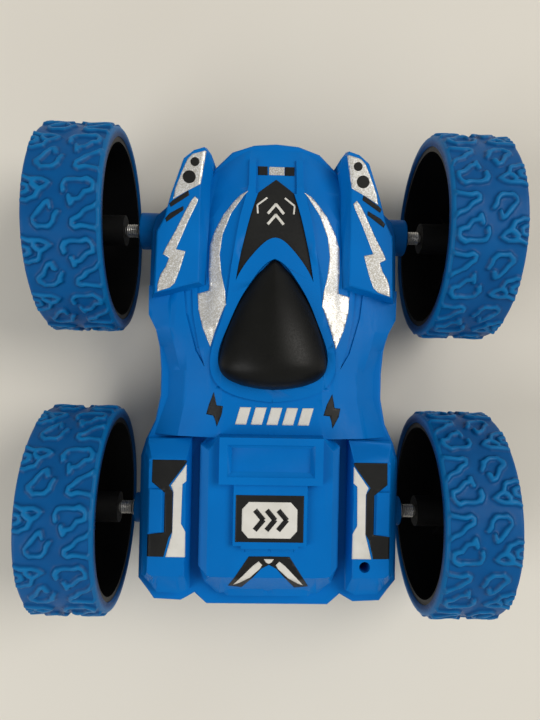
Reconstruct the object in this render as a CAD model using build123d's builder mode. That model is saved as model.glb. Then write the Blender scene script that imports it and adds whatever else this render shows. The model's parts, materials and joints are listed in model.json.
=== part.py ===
from build123d import *

import math
import os

# A double-sided stunt car: both faces of the body carry the same sculpted shape, so it
# drives either way up on wheels that are taller than the body.
# Frame: origin on the floor under the middle of the wheelbase, +X right, +Y to the nose, +Z up.
# All sizes are in millimetres.

# ---- driving dimensions -------------------------------------------------------------------
LUG_R = 33.0            # tyre radius over the tread lugs
AXLE_Z = LUG_R          # axles, and the plane where the two body shells meet
HALF_BASE = 45.0        # half the wheelbase
WHEEL_IN = 48.8         # inner face of a tyre, from the centre line
WHEEL_OUT = 70.8        # outer face of a tyre
CARCASS_R = 32.0        # tyre radius between the lugs
RIM_R = 29.0            # where the tyre sits on the rim
RIM_WALL = 1.6          # rim barrel thickness
AXLE_R = 1.5            # steel half axles
BUSH_R = 3.0            # outside of an axle bush
RUN = 0.05              # radial running clearance
GAP = 0.3               # clearance between moving faces
WALL = 1.8              # body shell wall
TOUCH = 0.05            # clearance between fixed pieces
BOSS_END = 43.1         # where the axle bosses end, from the centre line
FRONT_BOSS_R = 5.9
REAR_BOSS_R = 4.75

GEAR_MODULE = 0.5
PRESSURE_ANGLE = 25.0
WHEEL_TEETH = 36
PINION_TEETH = 12
BACKLASH = 0.06
CENTRE_DISTANCE = GEAR_MODULE * (WHEEL_TEETH + PINION_TEETH) / 2
COMPOUND_Y = -HALF_BASE + CENTRE_DISTANCE
MOTOR_Y = COMPOUND_Y + CENTRE_DISTANCE
GEARBOX_IN = 26.2       # inner face of a gearbox, which is also a motor's front face
GEARBOX_OUT = 34.3
GEARBOX_WALL = 1.0
GEARBOX_R = 10.8        # half height of a gearbox round its large gears
GEARBOX_NOSE_R = 4.9    # and round the motor pinion

CAN_R = 7.7             # motor can
CAN_FLAT = 6.0          # half its height across the flats
CAN_LENGTH = 20.4
CAN_WALL = 0.8
MOTOR_SHAFT_R = 1.0
MOTOR_BOSS_R = 3.0

CANOPY_BASE = 17.0      # height of the canopy's seat above the parting plane
PANEL_DEPTH = 0.8       # how deep the hood panel is let into the hood
PANEL_RISE = 0.25       # and how far it stands above it
RAIL_RISE = 0.8         # height of the raised rail round the hood panel and the canopy
CHANNEL_DEPTH = 0.55    # the channel behind each pod
BELT_HEIGHT = 8.4       # the low belt that runs round each shell

SOCKET_X, SOCKET_Y = 29.0, -58.4    # flag or aerial socket in the rear right fender
SOCKET_R = 1.65
SOCKET_LENGTH = 8.0
FENDER_TOP = 16.5

DOOR_X = 16.6           # half width of the battery door
DOOR_FRONT, DOOR_BACK = -17.9, -50.4
DOOR_SEAT = 17.4        # its inner face, below the parting plane, and the height of its hinge
WELL_X = 14.9           # half width of the opening above the door
WELL_FRONT, WELL_BACK = -20.6, -48.8
TAB_IN, TAB_OUT = 13.1, 14.7
BATTERY = (24.0, 26.0, 9.0)
BATTERY_Y = -35.4
BATTERY_H = -12.2       # its middle, from the parting plane

SWITCH_Y = -12.6
SWITCH_TRAVEL = 3.0
KNOB = 2.4              # the switch knob is a square stem
SCREW_POINTS = [(29.0, 31.0), (12.0, 56.5), (27.0, -8.0), (33.2, -60.0)]
SCREW_SEAT = 7.0        # how far below the parting plane a screw head seats
SCREW_R = 1.15
SCREW_HEAD_R = 2.1
SCREW_BOSS_R = 2.9
BOARD = (28.0, 36.0, 1.6)
BOARD_Y = 26.0

os.makedirs("parts", exist_ok=True)


# ---- helpers --------------------------------------------------------------------------------
def save(part, name):
    """Labels a finished piece and writes its STEP file."""
    part.label = name
    export_step(part, f"parts/{name}.step")


def level(height, points):
    """A closed straight-sided outline at a height above the parting plane."""
    with BuildSketch(Plane.XY.offset(AXLE_Z + height)) as flat:
        with BuildLine():
            Polyline(*points, close=True)
        make_face()
    return flat.sketch


def levels(outlines):
    """Outlines stacked above the parting plane, to be lofted into a block."""
    return [level(height, points) for height, points in outlines]


def curved_level(height, *curves):
    """An outline closed along the centre line, made of splines and straight runs in turn."""
    with BuildSketch(Plane.XY.offset(AXLE_Z + height)) as flat:
        with BuildLine():
            for points in curves:
                if len(points) > 2:
                    Spline(*points)
                else:
                    Line(*points)
        make_face()
    return flat.sketch


def stations(crown):
    """Half cross-sections for a loft: each crown line (x, height) down to the parting plane."""
    cuts = []
    for y, line in crown:
        with BuildSketch(Plane(origin=(0, y, AXLE_Z), x_dir=(1, 0, 0), z_dir=(0, -1, 0))) as cut:
            with BuildLine():
                Polyline((0, 0), *line, (line[-1][0], 0), close=True)
            make_face()
        cuts.append(cut.sketch)
    return cuts


def raised(part, rise):
    """A copy of a block, moved up, or down where rise is negative."""
    return part.moved(Location((0, 0, rise)))


def on_axle(x, y=0.0):
    """A plane square to the axles, at x, with its origin at axle height."""
    return Plane(origin=(x, y, AXLE_Z), x_dir=(0, 1, 0), z_dir=(1, 0, 0))


def left_of(right_part):
    """The left-hand copy of a right-hand piece."""
    with BuildPart() as left:
        add(mirror(right_part, about=Plane.YZ, mode=Mode.PRIVATE))
    return left.part


def moved_to(part, y):
    """A front piece copied to another axle."""
    with BuildPart() as copy_:
        add(part.moved(Location((0, y - HALF_BASE, 0))))
    return copy_.part


# ---- body: outlines and crown lines of the right-hand half, above the parting plane -----------
HOOD_LEVELS = [
    (-1, [(-1, 71.8), (7, 71.2), (13.6, 68.9), (19, 63.4), (21.6, 59.7), (21.6, 25), (-1, 25)]),
    (24, [(-1, 68.6), (6.6, 68.1), (12.8, 65.8), (17.8, 60.8), (20.4, 57.2), (20.4, 25), (-1, 25)]),
]
HOOD_CROWN = [
    (73, [(0, 6.5), (8.2, 6.5), (10, 6), (18, 3.6), (22, 3)]),
    (64, [(0, 11.5), (8.3, 11.8), (10.6, 11), (17, 8.4), (22, 7.4)]),
    (56, [(0, 15), (8.4, 15.2), (13.6, 13), (19, 10.8), (22, 10.4)]),
    (47, [(0, 16.6), (10.6, 16.6), (19, 13.2), (20.6, 12.2), (22, 12.2)]),
    (36, [(0, 17.8), (12.6, 17.5), (19.5, 14.4), (20.7, 13.2), (22, 13.2)]),
    (26, [(0, 18.3), (15, 17.8), (19.8, 15), (20.5, 14.3), (22, 14.3)]),
]
WAIST_OUTLINE = [
    (-1, 27), (38.6, 27), (38.6, 17), (36.2, 12.5), (34.9, 7), (34.3, 0), (34.3, -8),
    (35.8, -16), (38.4, -21), (-1, -21),
]
WAIST_CROWN = [
    (26, [(0, 18.3), (15, 17.8), (20.5, 14.3), (29, 13.2), (43, 9.4)]),
    (13, [(0, 18.3), (18, 17.6), (23.5, 15), (30, 13.6), (42, 7.8)]),
    (7, [(0, 18.2), (19, 17.4), (25, 14.6), (30, 13), (38.5, 3.6)]),
    (0, [(0, 17.8), (19, 17), (24, 15), (26, 14.2), (38, 3.1)]),
    (-8, [(0, 17.4), (15, 17.2), (21, 15.6), (26, 14.2), (38, 3.1)]),
    (-20, [(0, 17), (15, 16.8), (22, 15), (28.5, 13.4), (42, 4.6)]),
]
# the middle of the waist, filled up to a hair below its crown
WAIST_KEEL = [(-8.6, [(0, 17.37), (1.2, 17.35)]), (-19.8, [(0, 16.99), (1.2, 16.97)])]
BELT_OUTLINE = [
    (0, 72), (7, 71.4), (13.8, 69), (19.2, 63.6), (20.6, 61.6), (20.6, 64), (37.4, 48), (38.6, 44),
    (38.9, 17), (36.6, 12.4), (35.3, 7), (34.7, 0), (34.7, -8), (36.2, -16), (39, -22), (40.4, -27),
    (40.4, -65), (37.6, -68.6), (35.4, -71.6), (27, -72), (22.8, -69.6), (19, -73), (0, -73),
]
POD_LEVELS = [
    (0, [
        (20, 24.4), (20, 57.5), (19.2, 62.5), (19.5, 67), (21.2, 69.3), (25.6, 68.2), (29.6, 65.2),
        (33.4, 54), (35.4, 46.5), (38, 44), (38.6, 21.4),
    ]),
    (12.5, [
        (20.3, 25.2), (20.3, 57.3), (19.8, 62.2), (20, 66.4), (21.5, 68.4), (25.2, 67.3), (28.8, 64.3),
        (32.3, 53.3), (34.2, 46), (36.6, 42.5), (37.2, 22),
    ]),
    (17, [
        (22.8, 26.6), (22.8, 56.5), (22, 62), (21.4, 66.2), (22, 67.2), (25, 66.2), (28, 63.6),
        (31.5, 53), (33.4, 45.6), (35.4, 41.5), (35.8, 22.9),
    ]),
]
FENDER_LEVELS = [
    (0, [
        (24.2, -19.5), (39, -20), (40.4, -27), (40.4, -65), (37.6, -68.6), (35.4, -71.6),
        (27, -72), (24.2, -70.4),
    ]),
    (12, [
        (24.2, -20.8), (37.4, -21.6), (38.8, -26.8), (38.8, -62.5), (36, -65.4), (34, -68),
        (27, -68.4), (24.2, -67),
    ]),
    (FENDER_TOP, [
        (25.2, -26.6), (35.6, -26.6), (36.4, -27.4), (36.4, -60.6), (35.4, -61.4), (34, -61.6),
        (27, -61.6), (25.2, -61.6),
    ]),
]
DECK_LEVELS = [
    (0, [
        (0, -17.6), (16.4, -17.6), (22, -22.4), (22, -59.5), (20.8, -67), (18.6, -72.4), (0, -72.4),
    ]),
    (11, [
        (0, -18), (16.2, -18), (21.6, -22.8), (21.6, -60), (19.6, -65), (15, -68.4), (0, -68.4),
    ]),
    (19.4, [
        (0, -19.6), (15.4, -19.6), (18.4, -23.6), (18.4, -60.2), (17.4, -60.6), (14, -60.8), (0, -60.8),
    ]),
]
BOX_LEVELS = [
    (10, [(0, -18.3), (15.9, -18.3), (15.9, -33.6), (0, -33.6)]),
    (22.4, [(0, -19.2), (15.2, -19.2), (15.2, -32.9), (0, -32.9)]),
]
BOX_RECESS = [
    (20.8, [(0, -22.4), (11.6, -22.4), (11.6, -29.3), (0, -29.3)]),
    (22.5, [(0, -21.2), (12.9, -21.2), (12.9, -30.8), (0, -30.8)]),
]
SPINE_LEVELS = [
    (10, [(0, -33), (13.2, -33), (13.2, -51.2), (8.6, -51.2), (8.6, -52), (0, -52)]),
    (21.2, [(0, -33), (10.8, -33), (10.8, -51), (8.4, -51), (8.4, -51.8), (0, -51.8)]),
]
RAMP_OUTLINE = [(-1, -50.8), (8.8, -51), (14, -60), (14, -67.6), (12.6, -69), (-1, -69)]
RAMP_CROWN = [
    (-50.5, [(0, 20.6), (7, 20.6), (9.4, 19.4), (16, 17)]),
    (-60, [(0, 16.6), (10.8, 16.6), (13.6, 15.2), (16, 14)]),
    (-69.5, [(0, 11.6), (12, 11.6), (14, 10.4), (16, 9.6)]),
]

HOOD_PANEL_TIP = [(0, 58.9), (5.4, 54.3)]
HOOD_PANEL_EDGE = [(5.4, 54.3), (7.6, 47), (9.4, 39.5), (10.8, 32.5), (11.6, 27)]
HOOD_PANEL_NOTCH = [(11.6, 27), (9.2, 31.6), (7, 34.6), (4, 38), (1.6, 39.8), (0, 40.2)]
CANOPY_EDGE = [
    (0, 33.8), (2, 32.8), (6, 28.3), (10, 21.9), (14, 12.6), (16.4, 4), (15.4, -0.4), (10, -3.8), (0, -5.4),
]
RAIL_EDGE = [
    (8.3, 56.5), (10.6, 47), (12.4, 36), (13.3, 29), (13.9, 23), (14.8, 18), (16.6, 12.4),
    (18.2, 7), (18.8, 2), (17, -3.4), (11, -7.2), (0, -9),
]
CANOPY_RIBS = [
    (33.1, 1.4, 1.3), (28.3, 5.9, 4.1), (20.5, 10.8, 7.2), (11.5, 14.4, 9.3), (3, 16.3, 10.0),
    (-1.2, 14.6, 8.8), (-3.8, 10.0, 6.2), (-5.1, 4.0, 2.6),
]


def hood_panel_outline(height):
    return curved_level(
        height, HOOD_PANEL_TIP, HOOD_PANEL_EDGE, HOOD_PANEL_NOTCH, [(0, 40.2), (0, 58.9)]
    )


def canopy_outline(height):
    return curved_level(height, CANOPY_EDGE, [(0, -5.4), (0, 33.8)])


# The crown surfaces of the hood and the waist, and each of them cut to its outline.
with BuildPart() as hood_crown:
    loft(stations(HOOD_CROWN), ruled=True)

with BuildPart() as waist_crown:
    loft(stations(WAIST_CROWN), ruled=True)

with BuildPart() as hood:
    add(hood_crown.part)
    loft(levels(HOOD_LEVELS), ruled=True, mode=Mode.INTERSECT)

with BuildPart() as waist:
    add(waist_crown.part)
    extrude(level(0, WAIST_OUTLINE), amount=30, mode=Mode.INTERSECT)
    loft(stations(WAIST_KEEL), ruled=True)

# The rail that runs back from the nose, round the hood panel and the canopy.
with BuildPart() as rail:
    add(raised(hood_crown.part, RAIL_RISE))
    add(raised(waist_crown.part, RAIL_RISE))
    extrude(
        curved_level(
            8, [(-1, 66), (8.3, 66)], [(8.3, 66), (8.3, 56.5)], RAIL_EDGE,
            [(0, -9), (-1, -9)], [(-1, -9), (-1, 66)],
        ),
        amount=20,
        mode=Mode.INTERSECT,
    )
    extrude(level(8, [(-1, 67), (6.2, 67), (6.2, 54), (-1, 54)]), amount=20, mode=Mode.SUBTRACT)
    extrude(hood_panel_outline(8), amount=20, mode=Mode.SUBTRACT)

# The pod and arm over the front axle, and the fender over the rear one.
with BuildPart() as pod:
    loft(levels(POD_LEVELS), ruled=True)
    fillet(pod.faces().sort_by(Axis.Z)[-1].edges(), radius=0.7)

with BuildPart() as fender:
    loft(levels(FENDER_LEVELS), ruled=True)
    fillet(fender.faces().sort_by(Axis.Z)[-1].edges(), radius=0.6)
    with BuildSketch(Plane.XY.offset(AXLE_Z + FENDER_TOP - 1)):
        with Locations((34.1, -42)):
            Rectangle(4.2, 13)
    extrude(amount=1.8)
    fillet(fender.faces().sort_by(Axis.Z)[-1].edges(), radius=0.5)

# The rear deck: a chamfered plate with a recessed box, a spine and a ramp down to the tail.
with BuildPart() as deck:
    loft(levels(DECK_LEVELS), ruled=True)
    loft(levels(BOX_LEVELS), ruled=True)
    loft(levels(BOX_RECESS), ruled=True, mode=Mode.SUBTRACT)
    loft(levels(SPINE_LEVELS), ruled=True)

with BuildPart() as ramp:
    loft(stations(RAMP_CROWN), ruled=True)
    extrude(level(0, RAMP_OUTLINE), amount=30, mode=Mode.INTERSECT)

# A shallow channel that runs back from behind the pod.
with BuildPart() as side_channel:
    extrude(
        level(8, [(25, 25.4), (27.6, 25.4), (26.6, 17), (23.4, 6), (20.4, 1), (22.4, 7.4), (24.4, 17)]),
        amount=20,
    )
    add(raised(waist_crown.part, -CHANNEL_DEPTH), mode=Mode.SUBTRACT)

# The right-hand half of the upper body, then both halves in one.
with BuildPart() as body:
    extrude(level(0, BELT_OUTLINE), amount=BELT_HEIGHT)
    rim = body.faces().sort_by(Axis.Z)[-1].edges().filter_by(lambda edge: edge.center().X > 0.1)
    fillet(rim, radius=0.8)
    for feature in (hood, waist, rail):
        add(feature.part)
    add(side_channel.part, mode=Mode.SUBTRACT)
    for feature in (pod, fender, deck, ramp):
        add(feature.part)
    mirror(about=Plane.YZ)


# ---- inside of the shells -------------------------------------------------------------------
BELT_HOLLOW = [
    (-1, 70), (6.8, 69.4), (13, 67.1), (17.6, 62.2), (18.6, 58), (21.5, 55), (22.4, 64.6),
    (24.5, 64.2), (27.4, 61.4), (31.4, 52), (33.4, 45), (36.4, 43), (37, 17.4), (34.9, 12.8),
    (33.5, 7.2), (32.9, 0.2), (32.9, -8.2), (34.4, -16.6), (37.2, -22.4), (38.6, -27.2),
    (38.6, -64.4), (36.2, -67.4), (34.6, -69.8), (27.4, -70.2), (22.8, -67.4), (18.3, -71.2),
    (-1, -71.2),
]
HOOD_HOLLOW = [(-1, 62), (15, 62), (18.4, 57), (18.4, 25.9), (-1, 25.9)]
WAIST_HOLLOW = [(-1, 26.1), (35.5, 26.1), (35.5, 17), (30, 10), (29, -10), (32, -19.9), (-1, -19.9)]
POD_HOLLOW = [
    (24, 28.4), (24, 56), (23.4, 64), (24.5, 64), (27.2, 61.2), (30.4, 52), (32, 45), (34, 40),
    (34.4, 25.4),
]
FENDER_HOLLOW = [(26, -28), (35.6, -28), (36.4, -29), (36.4, -60), (35, -61.4), (26, -61.4)]
FENDER_FRONT_HOLLOW = [(26, -22.8), (36.4, -23.8), (36.6, -28.4), (26, -28.4)]
DECK_HOLLOW = [
    (-1, [(-1, -19), (15, -19), (19.6, -25), (19.6, -60), (17, -65), (-1, -65)]),
    (10, [(-1, -19.4), (15, -19.4), (19.4, -25), (19.4, -59.4), (17, -62), (-1, -62)]),
    (15.4, [(-1, -20.6), (14.8, -20.6), (17.2, -25), (17.2, -58), (16, -58.6), (-1, -58.6)]),
]
CROWN_WALL = 2.4


def gearbox_outline(x, inset=0.0):
    """The gearbox's side view: a hull round the final gear, the compound gear and the pinion."""
    with BuildSketch(on_axle(x)) as outline:
        with Locations((-HALF_BASE, 0), (COMPOUND_Y, 0)):
            Circle(GEARBOX_R - inset)
        with Locations((MOTOR_Y, 0)):
            Circle(GEARBOX_NOSE_R - inset)
        make_hull()
    return outline.sketch


def can_outline(x, inset=0.0):
    """The motor can's section: a round with two flats."""
    with BuildSketch(on_axle(x, MOTOR_Y)) as outline:
        Circle(CAN_R - inset)
        Rectangle(2 * CAN_R, 2 * (CAN_FLAT - inset), mode=Mode.INTERSECT)
    return outline.sketch


with BuildPart() as hollow:
    extrude(level(-1, BELT_HOLLOW), amount=BELT_HEIGHT - WALL + 1)
    for outline, height in (
        (POD_HOLLOW, 14.6), (FENDER_HOLLOW, FENDER_TOP - WALL), (FENDER_FRONT_HOLLOW, 9.6)
    ):
        extrude(level(-1, outline), amount=height + 1)
    loft(levels(DECK_HOLLOW), ruled=True)

with BuildPart() as hood_hollow:
    add(raised(hood_crown.part, -CROWN_WALL))
    extrude(level(-1, HOOD_HOLLOW), amount=30, mode=Mode.INTERSECT)

with BuildPart() as waist_hollow:
    add(raised(waist_crown.part, -CROWN_WALL))
    extrude(level(-1, WAIST_HOLLOW), amount=30, mode=Mode.INTERSECT)

# Everything that is taken out of either shell; the screw bosses are left standing in it.
with BuildPart() as cavity:
    for feature in (hollow, hood_hollow, waist_hollow):
        add(feature.part)
    for axle_y, boss_r, inner_end in ((HALF_BASE, FRONT_BOSS_R, 31.0), (-HALF_BASE, REAR_BOSS_R, 35.5)):
        with BuildSketch(on_axle(inner_end, axle_y)):
            Circle(boss_r)
        extrude(amount=BOSS_END - inner_end, mode=Mode.SUBTRACT)
    with BuildSketch(Plane.XY.offset(AXLE_Z - 2)):
        with Locations(*SCREW_POINTS):
            Circle(SCREW_BOSS_R)
    extrude(amount=30, mode=Mode.SUBTRACT)
    extrude(gearbox_outline(GEARBOX_IN - GAP, -GAP), amount=GEARBOX_OUT - GEARBOX_IN + 2 * GAP)
    mirror(about=Plane.YZ)

with BuildPart() as bosses:
    for axle_y, boss_r in ((HALF_BASE, FRONT_BOSS_R), (-HALF_BASE, REAR_BOSS_R)):
        with BuildSketch(on_axle(31, axle_y)):
            Circle(boss_r)
        extrude(amount=BOSS_END - 31)
    fillet(bosses.edges().group_by(Axis.X)[-1], radius=0.6)
    mirror(about=Plane.YZ)

with BuildPart() as bush_bores:
    for axle_y in (HALF_BASE, -HALF_BASE):
        with BuildSketch(on_axle(30.5, axle_y)):
            Circle(BUSH_R + TOUCH)
        extrude(amount=BOSS_END - 30.5 + 1)
    mirror(about=Plane.YZ)

with BuildPart() as canopy_pocket:
    extrude(canopy_outline(CANOPY_BASE), amount=14)
    mirror(about=Plane.YZ)

with BuildPart() as hood_panel:
    extrude(hood_panel_outline(8), amount=20)
    add(raised(hood_crown.part, PANEL_RISE), mode=Mode.INTERSECT)
    add(raised(hood_crown.part, -PANEL_DEPTH), mode=Mode.SUBTRACT)
    mirror(about=Plane.YZ)

with BuildPart() as canopy:
    for y, half_width, rise in CANOPY_RIBS:
        rib = Plane(origin=(0, y, AXLE_Z + CANOPY_BASE), x_dir=(1, 0, 0), z_dir=(0, -1, 0))
        with BuildSketch(rib):
            Ellipse(half_width - TOUCH, rise)
            with Locations((0, -rise)):
                Rectangle(4 * half_width, 2 * rise, mode=Mode.SUBTRACT)
    loft()
    add(canopy_pocket.part, mode=Mode.INTERSECT)

with BuildPart() as upper_bosses:
    add(bosses.part)
    split(bisect_by=Plane.XY.offset(AXLE_Z), keep=Keep.TOP)

# Each shell is hollow, let out for its canopy and bored for the axle bushes.
with BuildPart() as removed:
    for feature in (cavity, bush_bores, canopy_pocket):
        add(feature.part)

with BuildPart() as shell_block:
    add(body.part)
    add(upper_bosses.part)
    add(removed.part, mode=Mode.SUBTRACT)

with BuildPart() as panel_pocket:
    extrude(hood_panel_outline(8), amount=20)
    add(raised(hood_crown.part, -PANEL_DEPTH - TOUCH), mode=Mode.SUBTRACT)
    mirror(about=Plane.YZ)

# ---- shells -----------------------------------------------------------------------------------
with BuildPart() as upper_cuts:
    add(panel_pocket.part)
    with BuildSketch(Plane.XY.offset(AXLE_Z + FENDER_TOP + 1)):
        with Locations((SOCKET_X, SOCKET_Y)):
            Circle(SOCKET_R)
    extrude(amount=-SOCKET_LENGTH - 2)
    with BuildSketch(Plane.XY.offset(AXLE_Z)):
        with Locations(*SCREW_POINTS):
            Circle(SCREW_R + TOUCH)
        mirror(about=Plane.YZ)
    extrude(amount=SCREW_SEAT)

with BuildPart() as upper_shell:
    add(shell_block.part)
    with BuildSketch(Plane.XY.offset(AXLE_Z + FENDER_TOP)):
        with Locations((SOCKET_X, SOCKET_Y)):
            Circle(SOCKET_R + 1.4)
    extrude(amount=-SOCKET_LENGTH)
    add(upper_cuts.part, mode=Mode.SUBTRACT)

UNDER = Plane.XY.offset(AXLE_Z)     # the parting plane, which the lower half is mirrored in
TAB_X = (TAB_IN + TAB_OUT) / 2
DOOR_MIDDLE = (DOOR_FRONT + DOOR_BACK) / 2

with BuildPart() as lower_cuts:
    add(mirror(panel_pocket.part, about=UNDER, mode=Mode.PRIVATE))
    # the door's place, the well above it and the notches that its two tabs swing through
    with BuildSketch(Plane.XY.offset(AXLE_Z - DOOR_SEAT)):
        with Locations((0, DOOR_MIDDLE)):
            Rectangle(2 * DOOR_X, DOOR_FRONT - DOOR_BACK)
    extrude(amount=-10)
    with BuildSketch(Plane.XY.offset(AXLE_Z - DOOR_SEAT - 1)):
        with Locations((0, (WELL_FRONT + WELL_BACK) / 2)):
            Rectangle(2 * WELL_X, WELL_FRONT - WELL_BACK)
    extrude(amount=8)
    with Locations((TAB_X, DOOR_FRONT - 1.9, AXLE_Z - DOOR_SEAT + 2.9)):
        Box(TAB_OUT - TAB_IN + 2 * GAP, 5.0, 6.0)
    with Locations((-TAB_X, DOOR_FRONT - 1.9, AXLE_Z - DOOR_SEAT + 2.9)):
        Box(TAB_OUT - TAB_IN + 2 * GAP, 5.0, 6.0)
    # screw holes with deep seats for the heads
    with BuildSketch(Plane.XY.offset(AXLE_Z)):
        with Locations(*SCREW_POINTS):
            Circle(SCREW_R + TOUCH)
        mirror(about=Plane.YZ)
    extrude(amount=-SCREW_SEAT - 1)
    with BuildSketch(Plane.XY.offset(AXLE_Z - SCREW_SEAT)):
        with Locations(*SCREW_POINTS):
            Circle(SCREW_HEAD_R + 2 * TOUCH)
        mirror(about=Plane.YZ)
    extrude(amount=-20)
    # the slot that the switch knob travels in
    with BuildSketch(Plane.XY.offset(AXLE_Z - 12)):
        with Locations((0, SWITCH_Y)):
            Rectangle(KNOB + SWITCH_TRAVEL + 2 * GAP, KNOB + 2 * GAP)
    extrude(amount=-8)

with BuildPart() as lower_shell:
    add(mirror(shell_block.part, about=UNDER, mode=Mode.PRIVATE))
    # posts under the circuit board and ribs beside the battery
    with BuildSketch(Plane.XY.offset(AXLE_Z - BOARD[2])):
        with Locations((0, BOARD_Y)):
            with GridLocations(BOARD[0] - 6, BOARD[1] - 8, 2, 2):
                Circle(1.8)
    extrude(amount=-14.6)
    with BuildSketch(Plane.XY.offset(AXLE_Z - CAN_FLAT - GAP)):
        with Locations((0, BATTERY_Y)):
            with GridLocations(2 * WELL_X + 1.4, 0, 2, 1):
                Rectangle(1.2, 24)
    extrude(amount=-(DOOR_SEAT - CAN_FLAT - 2 * GAP))
    add(lower_cuts.part, mode=Mode.SUBTRACT)

save(upper_shell.part, "upper_shell")
save(lower_shell.part, "lower_shell")

# ---- battery door -----------------------------------------------------------------------------
with BuildPart() as battery_door:
    add(mirror(body.part, about=UNDER, mode=Mode.PRIVATE))
    with BuildSketch(Plane.XY.offset(AXLE_Z - DOOR_SEAT)):
        with Locations((0, DOOR_MIDDLE)):
            Rectangle(2 * (DOOR_X - GAP), DOOR_FRONT - DOOR_BACK - 2 * GAP)
    extrude(amount=-10, mode=Mode.INTERSECT)
    with BuildSketch(Plane.XY.offset(AXLE_Z - DOOR_SEAT)):
        with Locations((0, BATTERY_Y)):
            Rectangle(2 * 13.0, 25)
    extrude(amount=-1.6, mode=Mode.SUBTRACT)
    for x in (TAB_X, -TAB_X):
        with Locations((x, DOOR_FRONT - 1.0, AXLE_Z - DOOR_SEAT + 1.5)):
            Box(TAB_OUT - TAB_IN, 1.2, 3.6)
        with Locations((x, DOOR_FRONT + 0.2, AXLE_Z - DOOR_SEAT + 3.9)):
            Box(TAB_OUT - TAB_IN, 3.6, 1.2)
save(battery_door.part, "battery_door")

# ---- canopies and hood panels -------------------------------------------------------------------
for part, name in ((canopy, "canopy"), (hood_panel, "hood_panel")):
    with BuildPart() as under_piece:
        add(mirror(part.part, about=UNDER, mode=Mode.PRIVATE))
    save(part.part, "upper_" + name)
    save(under_piece.part, "lower_" + name)

# ---- battery, circuit board and power switch ----------------------------------------------------
with BuildPart() as battery_pack:
    with Locations((0, BATTERY_Y, AXLE_Z + BATTERY_H)):
        Box(*BATTERY)
    fillet(battery_pack.edges().filter_by(Axis.Y), radius=2.5)
save(battery_pack.part, "battery_pack")

with BuildPart() as circuit_board:
    with BuildSketch(Plane.XY.offset(AXLE_Z - BOARD[2])):
        with Locations((0, BOARD_Y)):
            RectangleRounded(BOARD[0], BOARD[1], 1.5)
            with GridLocations(BOARD[0] - 6, BOARD[1] - 8, 2, 2):
                Circle(0.8, mode=Mode.SUBTRACT)
    extrude(amount=BOARD[2])
save(circuit_board.part, "circuit_board")

# the receiver chip, two motor drivers, a crystal, a capacitor and three sockets
with BuildPart() as board_components:
    for x, y, length, width, height in (
        (0, 30, 10, 6, 1.7), (-8, 20, 5, 4, 1.5), (8, 20, 5, 4, 1.5), (6, 36, 4.6, 10, 3.4),
        (-8, 11.5, 6, 4, 5), (0, 11.5, 6, 4, 5), (8, 11.5, 6, 4, 5),
    ):
        with Locations((x, y, AXLE_Z + height / 2)):
            Box(length, width, height)
    with Locations((-7, 36, AXLE_Z + 3.5)):
        Cylinder(2.5, 7)
save(board_components.part, "board_components")

SWITCH_TOP = 10.6       # how far below the parting plane the switch housing starts
SWITCH_FLOOR = 14.2
with BuildPart() as power_switch:
    with Locations((0, SWITCH_Y, AXLE_Z - (SWITCH_TOP + SWITCH_FLOOR) / 2)):
        Box(11.0, 5.6, SWITCH_FLOOR - SWITCH_TOP)
    with Locations((0, SWITCH_Y, AXLE_Z - SWITCH_FLOOR + 1.0)):
        Box(KNOB + SWITCH_TRAVEL + 2 * GAP, KNOB + 2 * GAP, 4.0, mode=Mode.SUBTRACT)
save(power_switch.part, "power_switch")

# the knob stands at the off end of its slot
KNOB_X = -SWITCH_TRAVEL / 2
with BuildPart() as switch_knob:
    with Locations((KNOB_X, SWITCH_Y, AXLE_Z - 15.4)):
        Box(KNOB, KNOB, 6.2)
    fillet(switch_knob.faces().sort_by(Axis.Z)[0].edges(), radius=0.4)
save(switch_knob.part, "switch_knob")

# ---- screws that hold the shells together --------------------------------------------------------
with BuildPart() as shell_screws:
    with BuildSketch(Plane.XY.offset(AXLE_Z - SCREW_SEAT)):
        with Locations(*SCREW_POINTS):
            Circle(SCREW_HEAD_R)
        mirror(about=Plane.YZ)
    extrude(amount=-1.6)
    with BuildSketch(Plane.XY.offset(AXLE_Z - SCREW_SEAT)):
        with Locations(*SCREW_POINTS):
            Circle(SCREW_R)
        mirror(about=Plane.YZ)
    extrude(amount=SCREW_SEAT + 6)
    # crossed slots in the heads
    with BuildSketch(Plane.XY.offset(AXLE_Z - SCREW_SEAT - 1.6)):
        with Locations(*SCREW_POINTS):
            Rectangle(2.6, 0.6)
            Rectangle(0.6, 2.6)
        mirror(about=Plane.YZ)
    extrude(amount=0.9, mode=Mode.SUBTRACT)
save(shell_screws.part, "shell_screws")


# ---- gears ----------------------------------------------------------------------------------------
def involute(angle):
    return math.tan(angle) - angle


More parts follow.
